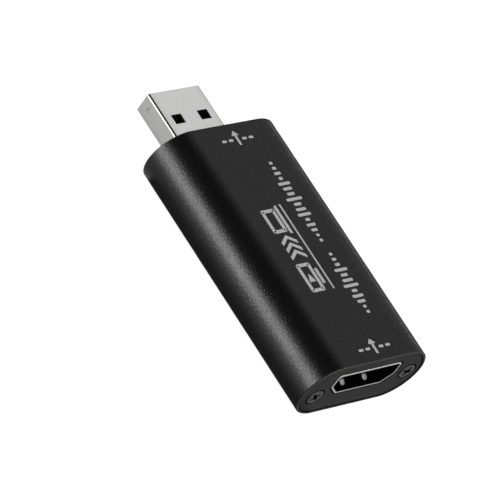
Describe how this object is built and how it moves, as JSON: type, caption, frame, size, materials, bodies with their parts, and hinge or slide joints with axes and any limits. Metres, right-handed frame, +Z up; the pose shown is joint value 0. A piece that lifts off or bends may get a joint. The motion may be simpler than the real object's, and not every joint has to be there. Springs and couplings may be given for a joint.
{
  "type": "video capture stick",
  "caption": "Plug-in video capture stick: flat black metal tube with full-round sides, a video input socket in one end plate and a flat computer plug at the other end.",
  "frame": {"origin": "centre of the bounding box, at its bottom: on the surface that the stick lies on, under the middle of its length", "axes": "+Y along the stick towards the output plug, -Y towards the input socket, +X to the right seen from the socket end, +Z up through the printed top face"},
  "size_m": [0.028, 0.064, 0.0128],
  "materials": {
    "anodised_black": "black anodised aluminium, fine bead blast",
    "plate_black": "black anodised aluminium plate, satin",
    "screw_black": "black zinc plated steel",
    "board_green": "glass epoxy board with green solder mask",
    "socket_steel": "nickel plated sheet steel, satin",
    "spring_steel": "nickel plated spring steel",
    "connector_plastic": "black glass filled nylon",
    "contact_gold": "gold flashed copper alloy",
    "plug_steel": "nickel plated sheet steel, bright satin",
    "solder": "solder, bright",
    "chip_epoxy": "moulded epoxy chip package",
    "tinned_leads": "tin plated copper leads",
    "crystal_steel": "nickel plated crystal can",
    "capacitor_ceramic": "ceramic, tan",
    "resistor_glaze": "black glazed alumina",
    "inductor_ferrite": "moulded ferrite powder"
  },
  "bodies": {
    "stick": {"housing_tube": "anodised_black", "input_end_plate": "plate_black", "output_end_plate": "plate_black", "input_end_screws": "screw_black", "output_end_screws": "screw_black", "circuit_board": "board_green", "socket_shell": "socket_steel", "socket_insulator": "connector_plastic", "socket_upper_contacts": "contact_gold", "socket_lower_contacts": "contact_gold", "socket_solder_joints": "solder", "plug_shell": "plug_steel", "plug_insulator": "connector_plastic", "plug_contacts": "contact_gold", "plug_solder_joints": "solder", "capture_chip_body": "chip_epoxy", "capture_chip_leads": "tinned_leads", "memory_chip_body": "chip_epoxy", "memory_chip_leads": "tinned_leads", "crystal_can": "crystal_steel", "crystal_base": "connector_plastic", "regulator_bodies": "chip_epoxy", "regulator_leads": "tinned_leads", "surge_array_bodies": "chip_epoxy", "surge_array_leads": "tinned_leads", "capacitor_bodies": "capacitor_ceramic", "capacitor_terminals": "tinned_leads", "resistor_bodies": "resistor_glaze", "resistor_terminals": "tinned_leads", "inductor_body": "inductor_ferrite", "inductor_terminals": "tinned_leads"},
    "spring_top_left": {"socket_spring_top_left": "spring_steel"},
    "spring_top_right": {"socket_spring_top_right": "spring_steel"},
    "spring_bottom_left": {"socket_spring_bottom_left": "spring_steel"},
    "spring_bottom_right": {"socket_spring_bottom_right": "spring_steel"}
  },
  "joints": [
    {"name": "spring_top_left_flex", "type": "hinge", "parent": "stick", "child": "spring_top_left", "pos_m": [-0.003, -0.0249, 0.00997], "axis": [-1, 0, 0], "range_deg": [0, 5], "stiffness_Nm_per_rad": 0.08},
    {"name": "spring_top_right_flex", "type": "hinge", "parent": "stick", "child": "spring_top_right", "pos_m": [0.0022, -0.0249, 0.00997], "axis": [-1, 0, 0], "range_deg": [0, 5], "stiffness_Nm_per_rad": 0.08},
    {"name": "spring_bottom_left_flex", "type": "hinge", "parent": "stick", "child": "spring_bottom_left", "pos_m": [-0.003, -0.0249, 0.00502], "axis": [1, 0, 0], "range_deg": [0, 5], "stiffness_Nm_per_rad": 0.08},
    {"name": "spring_bottom_right_flex", "type": "hinge", "parent": "stick", "child": "spring_bottom_right", "pos_m": [0.0022, -0.0249, 0.00502], "axis": [1, 0, 0], "range_deg": [0, 5], "stiffness_Nm_per_rad": 0.08}
  ]
}
